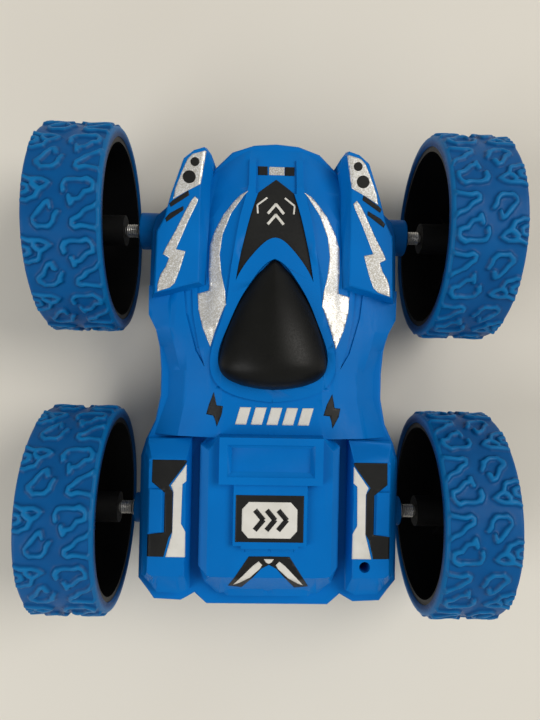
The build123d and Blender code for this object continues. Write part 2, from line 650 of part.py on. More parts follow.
def gear_outline(x, y, teeth, turned=0.0):
    """An involute gear's outline at axle height; turned is in degrees from a tooth facing +Y."""
    alpha = math.radians(PRESSURE_ANGLE)
    pitch_r = GEAR_MODULE * teeth / 2
    base_r = pitch_r * math.cos(alpha)
    tip_r = pitch_r + 0.9 * GEAR_MODULE
    root_r = pitch_r - 1.2 * GEAR_MODULE
    half_tooth = math.pi / (2 * teeth) - BACKLASH / 2 / pitch_r
    start_r = max(base_r, root_r)
    steps = 6
    flank = [(root_r, half_tooth + involute(alpha))] if base_r > root_r else []
    for step in range(steps + 1):
        r = start_r + (tip_r - start_r) * step / steps
        flank.append((r, half_tooth + involute(alpha) - involute(math.acos(base_r / r))))
    points = []
    for tooth in range(teeth):
        middle = math.radians(turned) + 2 * math.pi * tooth / teeth
        for r, half in flank:
            points.append((r * math.cos(middle - half), r * math.sin(middle - half)))
        for r, half in flank[::-1]:
            points.append((r * math.cos(middle + half), r * math.sin(middle + half)))
    with BuildSketch(on_axle(x, y)) as outline:
        with BuildLine():
            Polyline(*points, close=True)
        make_face()
    return outline.sketch


GAP_TURN = 180 / PINION_TEETH   # turns a pinion so that a tooth space faces the wheel it drives

with BuildPart() as final_gear:
    extrude(gear_outline(27.6, -HALF_BASE, WHEEL_TEETH), amount=2.1)
    with BuildSketch(on_axle(27.6, -HALF_BASE)):
        Circle(2.2)
    extrude(amount=4.6)
    with BuildSketch(on_axle(27.6, -HALF_BASE)):
        Circle(AXLE_R + 0.02)
    extrude(amount=4.6, mode=Mode.SUBTRACT)

with BuildPart() as compound_gear:
    extrude(gear_outline(27.5, COMPOUND_Y, PINION_TEETH, GAP_TURN), amount=2.6)
    extrude(gear_outline(30.1, COMPOUND_Y, WHEEL_TEETH), amount=2.0)
    with BuildSketch(on_axle(27.5, COMPOUND_Y)):
        Circle(MOTOR_SHAFT_R + RUN)
    extrude(amount=4.6, mode=Mode.SUBTRACT)

with BuildPart() as compound_pin:
    with BuildSketch(on_axle(GEARBOX_IN, COMPOUND_Y)):
        Circle(MOTOR_SHAFT_R)
    extrude(amount=GEARBOX_OUT - GEARBOX_IN)

with BuildPart() as motor_pinion:
    extrude(gear_outline(29.9, MOTOR_Y, PINION_TEETH, GAP_TURN), amount=2.4)
    with BuildSketch(on_axle(29.9, MOTOR_Y)):
        Circle(MOTOR_SHAFT_R + 0.02)
    extrude(amount=2.4, mode=Mode.SUBTRACT)

# ---- motors -----------------------------------------------------------------------------------------
CAN_REAR = GEARBOX_IN - CAN_LENGTH

with BuildPart() as motor_can:
    extrude(can_outline(CAN_REAR), amount=CAN_LENGTH)
    with BuildSketch(on_axle(GEARBOX_IN, MOTOR_Y)):
        Circle(MOTOR_BOSS_R)
    extrude(amount=0.8)
    extrude(can_outline(CAN_REAR, CAN_WALL), amount=CAN_LENGTH - CAN_WALL, mode=Mode.SUBTRACT)
    with BuildSketch(on_axle(CAN_REAR, MOTOR_Y)):
        Circle(MOTOR_SHAFT_R + RUN)
    extrude(amount=CAN_LENGTH + 1, mode=Mode.SUBTRACT)

with BuildPart() as motor_end_cap:
    extrude(can_outline(CAN_REAR - 0.8), amount=0.8)
    extrude(can_outline(CAN_REAR, CAN_WALL + TOUCH), amount=1.6)
    with BuildSketch(on_axle(CAN_REAR - 0.8, MOTOR_Y)):
        Circle(MOTOR_SHAFT_R + RUN)
    extrude(amount=2.4, mode=Mode.SUBTRACT)

with BuildPart() as motor_rotor:
    with BuildSketch(on_axle(CAN_REAR + 0.2, MOTOR_Y)):
        Circle(MOTOR_SHAFT_R)
    extrude(amount=32.4 - CAN_REAR - 0.2)
    with BuildSketch(on_axle(CAN_REAR + 4, MOTOR_Y)):
        Circle(4.6)
    extrude(amount=12)

# ---- gearbox ------------------------------------------------------------------------------------------
COVER_IN = GEARBOX_OUT - GEARBOX_WALL

with BuildPart() as gearbox:
    extrude(gearbox_outline(GEARBOX_IN), amount=COVER_IN - GEARBOX_IN)
    extrude(
        gearbox_outline(GEARBOX_IN + GEARBOX_WALL, GEARBOX_WALL), amount=8, mode=Mode.SUBTRACT
    )
    for y, r in (
        (MOTOR_Y, MOTOR_BOSS_R + TOUCH), (COMPOUND_Y, MOTOR_SHAFT_R + 0.02), (-HALF_BASE, BUSH_R + TOUCH)
    ):
        with BuildSketch(on_axle(GEARBOX_IN, y)):
            Circle(r)
        extrude(amount=GEARBOX_WALL, mode=Mode.SUBTRACT)

with BuildPart() as gearbox_cover:
    extrude(gearbox_outline(COVER_IN), amount=GEARBOX_WALL)
    for y, r in ((COMPOUND_Y, MOTOR_SHAFT_R + 0.02), (-HALF_BASE, AXLE_R + 0.5)):
        with BuildSketch(on_axle(COVER_IN, y)):
            Circle(r)
        extrude(amount=GEARBOX_WALL, mode=Mode.SUBTRACT)

# ---- axles, bushes and clips ----------------------------------------------------------------------------
HUB_IN = 48.2           # inner end of a wheel hub
AXLE_END = 66.0


def round_bar(x, y, r, length, bore=0.0):
    """A round bar or tube that lies along the axle line."""
    with BuildPart() as bar:
        with BuildSketch(on_axle(x, y)):
            Circle(r)
            if bore:
                Circle(bore, mode=Mode.SUBTRACT)
        extrude(amount=length)
    return bar.part


front_axle = round_bar(29.0, HALF_BASE, AXLE_R, AXLE_END - 29.0)
rear_axle = round_bar(25.0, -HALF_BASE, AXLE_R, AXLE_END - 25.0)
axle_clip = round_bar(30.0, HALF_BASE, BUSH_R, 0.7, AXLE_R + 0.02)

with BuildPart() as front_bushes:
    add(round_bar(31.0, HALF_BASE, BUSH_R, BOSS_END - 31.0, AXLE_R + RUN))
    mirror(about=Plane.YZ)
save(front_bushes.part, "front_bushes")

with BuildPart() as rear_outer_bushes:
    add(round_bar(35.5, -HALF_BASE, BUSH_R, BOSS_END - 35.5, AXLE_R + RUN))
    mirror(about=Plane.YZ)
save(rear_outer_bushes.part, "rear_outer_bushes")

with BuildPart() as rear_inner_bushes:
    add(round_bar(25.4, -HALF_BASE, BUSH_R + 0.8, GEARBOX_IN - 25.4, AXLE_R + RUN))
    add(round_bar(25.4, -HALF_BASE, BUSH_R, 1.8, AXLE_R + RUN))
    mirror(about=Plane.YZ)
save(rear_inner_bushes.part, "rear_inner_bushes")

# ---- wheels ------------------------------------------------------------------------------------------------
WEB_IN, WEB_OUT = 65.6, 67.4
HUB_R = 4.9
PITCHES = 12            # tread lugs round each row
LUG_ROWS = [(53.6, 0.0), (64.2, 0.5)]   # each row's middle, and how far it is staggered
LUG_WIDTH = 8.6

with BuildPart() as front_tyre:
    with BuildSketch(on_axle(WHEEL_IN, HALF_BASE)):
        Circle(CARCASS_R)
        Circle(RIM_R + TOUCH, mode=Mode.SUBTRACT)
    extrude(amount=WHEEL_OUT - WHEEL_IN)
    fillet(front_tyre.edges().filter_by(GeomType.CIRCLE).sort_by(SortBy.RADIUS)[-2:], radius=0.9)
    for row_x, stagger in LUG_ROWS:
        for lug in range(2 * PITCHES):
            turn = 360 * (lug + stagger) / (2 * PITCHES)
            plane = Plane(origin=(row_x, HALF_BASE, AXLE_Z)).rotated((turn, 0, 0))
            with BuildSketch(plane.offset(CARCASS_R - 0.6)):
                RectangleRounded(LUG_WIDTH, 6.6, 1.6)
            extrude(amount=LUG_R - CARCASS_R + 0.6 - 0.17)

with BuildPart() as front_rim:
    with BuildSketch(on_axle(49.4, HALF_BASE)):
        Circle(RIM_R)
        Circle(RIM_R - RIM_WALL, mode=Mode.SUBTRACT)
    extrude(amount=70.0 - 49.4)
    with BuildSketch(on_axle(WEB_IN, HALF_BASE)):
        Circle(RIM_R - RIM_WALL / 2)
    extrude(amount=WEB_OUT - WEB_IN)
    with BuildSketch(on_axle(HUB_IN, HALF_BASE)):
        Circle(HUB_R)
    extrude(amount=WEB_IN - HUB_IN + 0.5)
    # ribs inside the dish and raised spokes on its face
    with BuildSketch(on_axle(WEB_IN - 4.0, HALF_BASE)):
        with PolarLocations(0, 6):
            with Locations((RIM_R / 2, 0)):
                Rectangle(RIM_R - 1.4, 1.2)
    extrude(amount=4.5)
    with BuildSketch(on_axle(WEB_OUT - 0.3, HALF_BASE)):
        with PolarLocations(0, 6):
            with Locations((RIM_R / 2, 0)):
                Trapezoid(7.0, RIM_R - 1.6, 86, rotation=90)
        Circle(8.2)
    extrude(amount=1.6)
    with BuildSketch(on_axle(HUB_IN, HALF_BASE)):
        Circle(AXLE_R + 0.02)
    extrude(amount=AXLE_END - HUB_IN, mode=Mode.SUBTRACT)

with BuildPart() as front_cap:
    with BuildSketch(on_axle(WEB_OUT + 1.3, HALF_BASE)):
        Circle(5.6)
    extrude(amount=1.9)
    fillet(front_cap.faces().sort_by(Axis.X)[-1].edges(), radius=1.0)

for name, right in (
    ("front_{}_tyre", front_tyre.part), ("front_{}_rim", front_rim.part),
    ("front_{}_hub_cap", front_cap.part), ("front_{}_axle", front_axle),
    ("front_{}_axle_clip", axle_clip),
    ("rear_{}_tyre", moved_to(front_tyre.part, -HALF_BASE)),
    ("rear_{}_rim", moved_to(front_rim.part, -HALF_BASE)),
    ("rear_{}_hub_cap", moved_to(front_cap.part, -HALF_BASE)),
    ("rear_{}_axle", rear_axle), ("{}_final_gear", final_gear.part),
    ("{}_compound_gear", compound_gear.part), ("{}_compound_pin", compound_pin.part),
    ("{}_motor_pinion", motor_pinion.part), ("{}_motor_can", motor_can.part),
    ("{}_motor_end_cap", motor_end_cap.part), ("{}_motor_rotor", motor_rotor.part),
    ("{}_gearbox", gearbox.part), ("{}_gearbox_cover", gearbox_cover.part),
):
    save(left_of(right), name.format("left"))
    save(right, name.format("right"))
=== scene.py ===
import json
import math

import bmesh
import bpy
import numpy as np
from mathutils import Matrix, Vector
from mathutils.bvhtree import BVHTree


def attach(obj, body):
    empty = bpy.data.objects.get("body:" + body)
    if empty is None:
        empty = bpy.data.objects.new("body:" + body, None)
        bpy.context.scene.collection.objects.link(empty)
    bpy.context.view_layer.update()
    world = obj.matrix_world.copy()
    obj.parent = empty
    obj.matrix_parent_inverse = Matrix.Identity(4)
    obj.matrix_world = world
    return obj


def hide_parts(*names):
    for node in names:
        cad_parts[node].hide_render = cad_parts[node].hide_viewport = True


# A two-faced radio controlled stunt car. Lengths below are in millimetres and are
# multiplied by MM where they meet Blender, which works in metres.
MM = 0.001
AXLE_Z = 33.0
HALF_BASE = 45.0
SIDES = (("right", 1), ("left", -1))

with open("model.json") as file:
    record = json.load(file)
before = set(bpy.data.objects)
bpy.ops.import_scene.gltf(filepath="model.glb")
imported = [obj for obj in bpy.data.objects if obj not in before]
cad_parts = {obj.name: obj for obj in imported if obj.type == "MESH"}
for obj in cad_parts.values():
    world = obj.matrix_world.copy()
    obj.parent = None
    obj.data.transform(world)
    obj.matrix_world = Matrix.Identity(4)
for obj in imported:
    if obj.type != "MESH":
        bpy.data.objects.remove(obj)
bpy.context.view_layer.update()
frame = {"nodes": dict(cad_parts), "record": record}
nodes = frame["nodes"]


# ---- materials ---------------------------------------------------------------------------------
# The colour of the tread follows its relief: painted shade round the foot of each rib and up its
# sides, worn on its top.
FOOT_SHADE_COLOUR = (0.0, 0.036, 0.135)
FOOT_SHADE_AMOUNT = 0.45
FOOT_SHADE_RELIEF = (0.0, 0.12)
WORN_RELIEF = (0.35, 0.95)
SPECKS = (0.58, 0.78)               # the noise values over which a speck of dust sets in


def new_material(name):
    """A material with nodes, its node list and its links."""
    material = bpy.data.materials.new(name)
    material.use_nodes = True
    return material, material.node_tree.nodes, material.node_tree.links


def noise(tree, links, coords, scale, detail=3.0, roughness=0.6, stretch=None):
    """A noise texture in object space, drawn out along an axis where stretch is given."""
    texture = tree.new("ShaderNodeTexNoise")
    texture.inputs["Scale"].default_value = scale
    texture.inputs["Detail"].default_value = detail
    texture.inputs["Roughness"].default_value = roughness
    if stretch:
        mapping = tree.new("ShaderNodeMapping")
        mapping.inputs["Scale"].default_value = stretch
        links.new(coords.outputs["Object"], mapping.inputs["Vector"])
        links.new(mapping.outputs["Vector"], texture.inputs["Vector"])
    else:
        links.new(coords.outputs["Object"], texture.inputs["Vector"])
    return texture


def spread(tree, links, value, low, high, start=0.3, end=0.7):
    """Maps a texture's value to a range."""
    ramp = tree.new("ShaderNodeMapRange")
    ramp.inputs["From Min"].default_value = start
    ramp.inputs["From Max"].default_value = end
    ramp.inputs["To Min"].default_value = low
    ramp.inputs["To Max"].default_value = high
    links.new(value, ramp.inputs["Value"])
    return ramp.outputs["Result"]


def mixed(tree, links, factor, first, second):
    """A colour between two, by a factor."""
    mix = tree.new("ShaderNodeMix")
    mix.data_type = "RGBA"
    links.new(factor, mix.inputs["Factor"])
    for index, colour in ((6, first), (7, second)):
        if isinstance(colour, tuple):
            mix.inputs[index].default_value = (*colour, 1)
        else:
            links.new(colour, mix.inputs[index])
    return mix.outputs[2]


def surface(
    name, dark, light, rough=(0.35, 0.5), metallic=0.0, grain=900.0, grain_depth=0.02,
    mottle=60.0, stretch=None, dust=0.0, dust_colour=(0.5, 0.5, 0.48), wear=None, specular=0.4,
):
    """A moulded or machined surface: mottled colour, uneven gloss, fine grain and a little dust.

    The scales of grain and mottle are per metre, and the depth of the grain is in millimetres.
    Where wear is given, it is the colour of the worn tops of a tread, and the relief also lays
    painted shade round the foot of each rib and up its sides.
    """
    material, tree, links = new_material(name)
    shader = tree["Principled BSDF"]
    coords = tree.new("ShaderNodeTexCoord")
    broad = noise(tree, links, coords, mottle)
    fine = noise(tree, links, coords, grain, 2.0, 0.5, stretch)
    colour = mixed(tree, links, spread(tree, links, broad.outputs["Fac"], 0, 1), dark, light)
    if wear:
        attribute = tree.new("ShaderNodeAttribute")
        attribute.attribute_name = "relief"
        relief = attribute.outputs["Fac"]
        # painted shade round the foot of each rib and up its sides, taken from the relief
        foot = spread(tree, links, relief, 0, FOOT_SHADE_AMOUNT, *FOOT_SHADE_RELIEF)
        colour = mixed(tree, links, foot, colour, FOOT_SHADE_COLOUR)
        worn = spread(tree, links, relief, 0, 1, *WORN_RELIEF)
        colour = mixed(tree, links, worn, colour, wear)
    if dust:
        specks = noise(tree, links, coords, 420.0, 4.0, 0.75)
        amount = spread(tree, links, specks.outputs["Fac"], 0, dust, *SPECKS)
        colour = mixed(tree, links, amount, colour, dust_colour)
    links.new(colour, shader.inputs["Base Color"])
    gloss = spread(tree, links, fine.outputs["Fac"], *rough)
    links.new(gloss, shader.inputs["Roughness"])
    shader.inputs["Metallic"].default_value = metallic
    shader.inputs["Specular IOR Level"].default_value = specular
    bump = tree.new("ShaderNodeBump")
    bump.inputs["Strength"].default_value = 0.6
    bump.inputs["Distance"].default_value = grain_depth * MM
    links.new(fine.outputs["Fac"], bump.inputs["Height"])
    links.new(bump.outputs["Normal"], shader.inputs["Normal"])
    return material


def foil(name):
    """Silver sticker film with a fine glittery grain."""
    material, tree, links = new_material(name)
    shader = tree["Principled BSDF"]
    coords = tree.new("ShaderNodeTexCoord")
    flakes = tree.new("ShaderNodeTexVoronoi")
    flakes.inputs["Scale"].default_value = 4200
    links.new(coords.outputs["Object"], flakes.inputs["Vector"])
    flake = tree.new("ShaderNodeSeparateColor")
    links.new(flakes.outputs["Color"], flake.inputs["Color"])
    broad = noise(tree, links, coords, 45.0)
    tone = spread(tree, links, broad.outputs["Fac"], 0, 1)
    base = mixed(tree, links, tone, (0.50, 0.47, 0.41), (0.64, 0.62, 0.57))
    glint = spread(tree, links, flake.outputs["Red"], 0, 1, 0.35, 1.0)
    links.new(mixed(tree, links, glint, base, (0.86, 0.87, 0.88)), shader.inputs["Base Color"])
    gloss = spread(tree, links, flake.outputs["Green"], 0.34, 0.62, 0, 1)
    links.new(gloss, shader.inputs["Roughness"])
    shader.inputs["Metallic"].default_value = 0.72
    bump = tree.new("ShaderNodeBump")
    bump.inputs["Strength"].default_value = 0.5
    bump.inputs["Distance"].default_value = 0.02 * MM
    links.new(flake.outputs["Blue"], bump.inputs["Height"])
    links.new(bump.outputs["Normal"], shader.inputs["Normal"])
    return material


MATERIALS = {
    "body_blue": surface(
        "body_blue", (0.0, 0.128, 0.435), (0.0, 0.150, 0.50), (0.36, 0.48), grain=1300,
        grain_depth=0.012, mottle=35, dust=0.06, dust_colour=(0.05, 0.20, 0.50), specular=0.08,
    ),
    "tyre_blue": surface(
        "tyre_blue", (0.0, 0.068, 0.230), (0.0, 0.086, 0.275), (0.36, 0.5), grain=1500,
        grain_depth=0.03, mottle=70, dust=0.15, dust_colour=(0.01, 0.13, 0.30),
        wear=(0.002, 0.138, 0.360), specular=0.13,
    ),
    "black_gloss": surface(
        "black_gloss", (0.008, 0.008, 0.008), (0.012, 0.012, 0.012), (0.25, 0.4), mottle=90,
    ),
    "black_matte": surface(
        "black_matte", (0.004, 0.004, 0.0035), (0.007, 0.007, 0.006), (0.34, 0.46), grain=1800,
        grain_depth=0.015, mottle=60, dust=0.06, dust_colour=(0.04, 0.04, 0.035), specular=0.14,
    ),
    "steel": surface(
        "steel", (0.42, 0.41, 0.39), (0.62, 0.61, 0.59), (0.22, 0.42), metallic=1.0, grain=900,
        stretch=(6, 1, 1), mottle=200,
    ),
    "bronze": surface("bronze", (0.38, 0.25, 0.11), (0.5, 0.34, 0.16), (0.35, 0.5), metallic=1.0),
    "gear_white": surface("gear_white", (0.66, 0.63, 0.55), (0.74, 0.72, 0.65), (0.45, 0.6)),
    "gear_case": surface("gear_case", (0.03, 0.03, 0.034), (0.05, 0.05, 0.056), (0.45, 0.6)),
    "brass": surface("brass", (0.55, 0.38, 0.14), (0.7, 0.5, 0.22), (0.25, 0.4), metallic=1.0),
    "board_green": surface("board_green", (0.01, 0.09, 0.03), (0.02, 0.13, 0.05), (0.3, 0.45)),
    "battery_wrap": surface("battery_wrap", (0.3, 0.03, 0.02), (0.4, 0.05, 0.03), (0.25, 0.4)),
    "sticker_cream": surface(
        "sticker_cream", (0.60, 0.58, 0.52), (0.70, 0.68, 0.63), (0.42, 0.6), grain=1600,
        mottle=120, dust=0.25, dust_colour=(0.33, 0.33, 0.33), specular=0.3,
    ),
    "sticker_black": surface(
        "sticker_black", (0.007, 0.007, 0.007), (0.012, 0.012, 0.011), (0.36, 0.52), grain=1600,
        mottle=90, dust=0.08, dust_colour=(0.06, 0.06, 0.06), specular=0.22,
    ),
    "silver_foil": foil("silver_foil"),
}
RIM_BLACK = surface(
    "rim_black", (0.003, 0.003, 0.003), (0.005, 0.005, 0.005), (0.4, 0.55), grain=1500, mottle=80,
    specular=0.2,
)
for part in frame["record"]["subparts"]:
    mesh = nodes[part["node"]].data
    mesh.materials.clear()
    rim = part["node"].endswith("_rim")
    mesh.materials.append(RIM_BLACK if rim else MATERIALS[part["material_slot"]])


def piece(name, mesh, slot, body, smooth=True):
    """Turns a mesh into a piece of the car that moves with one body."""
    obj = bpy.data.objects.new(name, mesh)
    bpy.context.scene.collection.objects.link(obj)
    mesh.materials.append(MATERIALS[slot])
    mesh.polygons.foreach_set("use_smooth", [smooth] * len(mesh.polygons))
    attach(obj, body)
    return obj


def turned_over(points):
    """The same points on the car's other face."""
    return [(x, y, 2 * AXLE_Z - z) for x, y, z in points]


# ---- soft moulded edges on the body ------------------------------------------------------------
EDGE_WIDTHS = {
    "upper_shell": 0.45, "lower_shell": 0.45, "battery_door": 0.3,
    "upper_hood_panel": 0.15, "lower_hood_panel": 0.15, "switch_knob": 0.2,
}
WELD_GAP = 0.003
FLAT_ANGLE = 1.0                    # degrees: faces within it are joined before the bevel
EDGE_ANGLE = 14                     # degrees: edges sharper than this are softened

for name, width in EDGE_WIDTHS.items():
    obj = nodes[name]
    bpy.context.view_layer.objects.active = obj
    bpy.ops.mesh.customdata_custom_splitnormals_clear()
    obj.data.polygons.foreach_set("use_smooth", [True] * len(obj.data.polygons))
    weld = obj.modifiers.new("weld", "WELD")
    weld.merge_threshold = WELD_GAP * MM
    flat = obj.modifiers.new("flat", "DECIMATE")
    flat.decimate_type = "DISSOLVE"
    flat.angle_limit = math.radians(FLAT_ANGLE)
    bevel = obj.modifiers.new("bevel", "BEVEL")
    bevel.width = width * MM
    bevel.segments = 3
    bevel.limit_method = "ANGLE"
    bevel.angle_limit = math.radians(EDGE_ANGLE)
    bevel.harden_normals = False
    obj.modifiers.new("normals", "WEIGHTED_NORMAL").keep_sharp = False

# ---- tyres -------------------------------------------------------------------------------------
# The tread repeats at each pitch. Its ribs are drawn as (distance from the car's centre line,
# degrees round the tyre): hooked loops, an open angled rib and two short ties.
TREAD = [
    [
        (58.8, -6.6), (59.1, -9), (58.3, -11.4), (57.4, -12.2), (52.6, -12.8), (51.5, -11.6),
        (50.8, -9.8), (50.9, -6.9), (52.8, -6.7), (53.6, -4.6), (54.4, -2.8), (56, -1.9),
        (56.5, 0.2), (57.1, -3.4),
    ],
    [
        (49.5, -0.4), (51.5, 1.7), (53.2, 3.4), (54, 5.4), (54.8, 6.8), (56.1, 7.4),
        (56.3, 9.9), (55.4, 10.8), (52.2, 10.6), (50.5, 11), (49.4, 11.8),
    ],
    [
        (60.3, 4.2), (61, 6.4), (61.3, 9), (62.3, 10.4), (65.6, 11.5), (66.8, 9.5), (67, 7.6),
        (65.7, 5), (64.9, 2.4), (63.8, 0.4), (62.7, -0.8), (62.2, 2.2),
    ],
    [
        (69.9, -13.2), (68, -12), (66.8, -11.7), (65, -12), (63.6, -11), (62.8, -10.1),
        (63.8, -8.2), (65.2, -6.7), (65.8, -5), (66.2, -3.3), (67.6, -2), (68.7, -0.8),
        (69.9, -1.2),
    ],
    [(66.8, -11.7), (67.3, -9.8), (66.4, -7.9), (65.3, -6.7)],
    [(69.9, -8.8), (68.7, -8.5), (68.4, -6), (69.1, -4.8), (69.9, -4.5)],
]
PITCHES = 12
PITCH = 360 // PITCHES              # degrees
STEPS_ROUND = 54                    # samples in each pitch
DEGREE = math.pi * 32.5 / 180       # millimetres round the tread for each degree
FAR = 9.0                           # further than any rib's edge
RIB_EDGE, RIB_SLOPE = 1.05, 0.7     # from a rib's middle to the end of its side, and its side
FOOT_EDGE, FOOT_SLOPE = 1.9, 1.4    # the same for the gentle rise round its foot
FOOT_SHARE = 0.14                   # the part of the height that the gentle rise makes
RIB_HEIGHT = 1.02
TREAD_R = 31.95
BORE_R = 29.05
# a tyre's section from its inner wall to its outer wall: (distance from the centre line, radius)
TYRE_SECTION = [(48.8, BORE_R), (48.8, 31.2), (48.88, 31.55), (49.1, 31.8), (49.4, 31.92)]
TYRE_SECTION += [(x, TREAD_R) for x in np.linspace(49.75, 69.85, 58)]
TYRE_SECTION += [(70.2, 31.9), (70.5, 31.75), (70.72, 31.5), (70.8, 31.1), (70.8, BORE_R)]
RUN_IN, RUN_IN_WIDTH = 49.2, 0.7    # the ribs rise from the inner edge of the tread
RUN_OUT, RUN_OUT_WIDTH = 70.75, 0.35    # and run out at the outer edge
WALL_R = 31.3                       # the walls below this radius carry no tread
LIP_END, LIP_R = 49.9, 31.0         # painted highlight along the inner edge of the tread, in the worn colour: where it ends and starts
LIP_HIGHLIGHT_RELIEF = 0.75
# Slow wavers, so that no two pitches are quite alike: (size, waves in a turn, change across the
# tyre, start). They shift the ribs across in millimetres and round in degrees, and vary their
# height.
SWAY = [(0.15, 7, 1.3, 0), (0.09, 29, -2.1, 1)]
DRIFT = [(0.28, 11, 0.9, 2), (0.18, 23, 1.7, 0)]
UNEVEN = [(0.1, 13, 0.8, 0)]


def waver(waves, turn, across):
    """The sum of some slow waves over the tyre."""
    return sum(size * np.sin(n * turn + k * across + start) for size, n, k, start in waves)


def eased(amount):
    """An amount from 0 to 1 with a soft start and end."""
    return amount * amount * (3 - 2 * amount)


def tread_relief(across, degrees):
    """How far a rib stands at each point, from 0 between the ribs to 1 on top of them."""
    u, v = across, degrees * DEGREE
    nearest = np.full(u.shape, FAR)
    for shift in (-PITCH, 0, PITCH):
        for line in TREAD:
            for (u0, a0), (u1, a1) in zip(line, line[1:]):
                v0, v1 = (a0 + shift) * DEGREE, (a1 + shift) * DEGREE
                du, dv = u1 - u0, v1 - v0
                along = np.clip(((u - u0) * du + (v - v0) * dv) / (du * du + dv * dv), 0, 1)
                nearest = np.minimum(nearest, np.hypot(u - u0 - along * du, v - v0 - along * dv))
    side = eased(np.clip((RIB_EDGE - nearest) / RIB_SLOPE, 0, 1))
    foot = eased(np.clip((FOOT_EDGE - nearest) / FOOT_SLOPE, 0, 1))
    return (1 - FOOT_SHARE) * side + FOOT_SHARE * foot


def tyre_mesh(name, side, axle_y):
    """A tyre on its axle: a closed ring whose outer face carries the tread."""
    across, radius = np.array(TYRE_SECTION).T
    raised = np.clip((across - RUN_IN) / RUN_IN_WIDTH, 0, 1)
    raised *= np.clip((RUN_OUT - across) / RUN_OUT_WIDTH, 0, 1)
    count = PITCHES * STEPS_ROUND
    degrees = np.arange(count) * 360 / count
    grid_x, grid_a = np.meshgrid(across, degrees, indexing="ij")
    angle = np.radians(grid_a)
    shifted = grid_a + waver(DRIFT, angle, grid_x)
    wrapped = (shifted + PITCH / 2) % PITCH - PITCH / 2
    relief = tread_relief(grid_x + waver(SWAY, angle, grid_x), wrapped) * raised[:, None]
    relief *= 0.9 + waver(UNEVEN, angle, grid_x)
    relief[radius < WALL_R] = 0
    grid_r = radius[:, None] + RIB_HEIGHT * relief
    points = np.stack(
        (
            side * grid_x,
            axle_y + side * grid_r * np.sin(angle),
            AXLE_Z + grid_r * np.cos(angle),
        ),
        axis=-1,
    ).reshape(-1, 3) * MM
    rows = len(TYRE_SECTION)
    faces = []
    for i in range(rows):
        row, following = i * count, (i + 1) % rows * count
        for j in range(count):
            k = (j + 1) % count
            faces.append((row + j, row + k, following + k, following + j))
    mesh = bpy.data.meshes.new(name)
    mesh.from_pydata(points.tolist(), [], faces)
    height = mesh.attributes.new("relief", "FLOAT", "POINT")
    # painted highlight: the inner edge of the tread takes the worn colour, its shape unchanged
    lip_highlight = (across < LIP_END) & (radius > LIP_R)
    relief[lip_highlight] = np.maximum(relief[lip_highlight], LIP_HIGHLIGHT_RELIEF)
    height.data.foreach_set("value", relief.ravel().astype(np.float32))
    return mesh


def turned(name, profile, axle_y, side, steps=64):
    """A piece turned on the axle line from (distance from the centre line, radius) points."""
    bm = bmesh.new()
    rings = []
    for x, r in profile:
        ring = []
        for j in range(steps):
            a = 2 * math.pi * j / steps
            spot = Vector((side * x, axle_y + r * math.sin(a), AXLE_Z + r * math.cos(a)))
            ring.append(bm.verts.new(spot * MM))
        rings.append(ring)
    for ring, following in zip(rings, rings[1:] + rings[:1]):
        for j in range(steps):
            k = (j + 1) % steps
            bm.faces.new((ring[j], ring[k], following[k], following[j]))
    bmesh.ops.recalc_face_normals(bm, faces=bm.faces)
    mesh = bpy.data.meshes.new(name)
    bm.to_mesh(mesh)
    bm.free()
    return mesh


# a steel sleeve on each half axle: a collar, then fine ribs towards the wheel
SLEEVE = [(43.3, 1.52), (43.3, 2.4), (44.1, 2.4), (44.1, 1.8)]
for k in range(6):
    start = 44.2 + 0.6 * k
    SLEEVE += [(start, 1.8), (start + 0.1, 2.1), (start + 0.4, 2.1), (start + 0.5, 1.8)]
SLEEVE += [(47.9, 1.8), (47.9, 1.52)]

for end, axle_y in (("front", HALF_BASE), ("rear", -HALF_BASE)):
    for side_name, side in SIDES:
        wheel = f"{end}_{side_name}_wheel"
        name = f"{end}_{side_name}_tyre_tread"
        tyre = piece(name, tyre_mesh(name, side, axle_y), "tyre_blue", wheel)
        bm = bmesh.new()
        bm.from_mesh(tyre.data)
        bmesh.ops.recalc_face_normals(bm, faces=bm.faces)
        bm.to_mesh(tyre.data)
        bm.free()
        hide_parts(f"{end}_{side_name}_tyre")
        name = f"{end}_{side_name}_axle_sleeve"
        piece(name, turned(name, SLEEVE, axle_y, side), "steel", wheel)

# ---- canopies ----------------------------------------------------------------------------------
CANOPY_BASE = 50.0
CANOPY_SUNK = 0.15                  # the dome's rim lies this far in its seat
CANOPY_COLUMNS = 40
CURVE_STEPS = 7
# distance along the car, half width and height of the canopy, from its tip to its tail
CANOPY = [
    (33.8, 0.0, 0.0), (33.2, 1.3, 1.2), (30.8, 3.6, 2.8), (28.3, 5.9, 4.1), (20.5, 10.8, 7.2),
    (11.5, 14.4, 9.3), (3, 16.3, 10.0), (-1.2, 14.9, 8.9), (-3.8, 10.4, 6.4), (-5.1, 4.4, 2.9),
    (-5.4, 0.0, 0.0),
]


def smooth_curve(points, steps):
    """A smooth curve through points, as a list of samples."""
    padded = [points[0]] + points + [points[-1]]
    samples = []
    for i in range(len(points) - 1):
        a, b, c, d = (np.array(p, float) for p in padded[i:i + 4])
        for k in range(steps):
            t = k / steps
            samples.append(
                0.5 * (2 * b + (c - a) * t + (2 * a - 5 * b + 4 * c - d) * t ** 2
                       + (3 * b - a - 3 * c + d) * t ** 3)
            )
    samples.append(np.array(points[-1], float))
    return samples


def canopy_points():
    """Rows of points over the canopy; its cross-section turns from a dome to a soft ridge."""
    rows = []
    for y, half, height in smooth_curve(CANOPY, CURVE_STEPS):
        ridge = min(max((y - 2) / 26, 0), 1)
        power = 2.0 - 0.55 * ridge
        row = []
        for k in range(CANOPY_COLUMNS + 1):
            a = math.pi * k / CANOPY_COLUMNS
            c, s = math.cos(a), math.sin(a)
            x = half * math.copysign(abs(c) ** (2 / power), c)
            z = CANOPY_BASE - CANOPY_SUNK + max(height, 0) * abs(s) ** (2 / power)
            row.append((x, y, z))
        rows.append(row)
    return rows


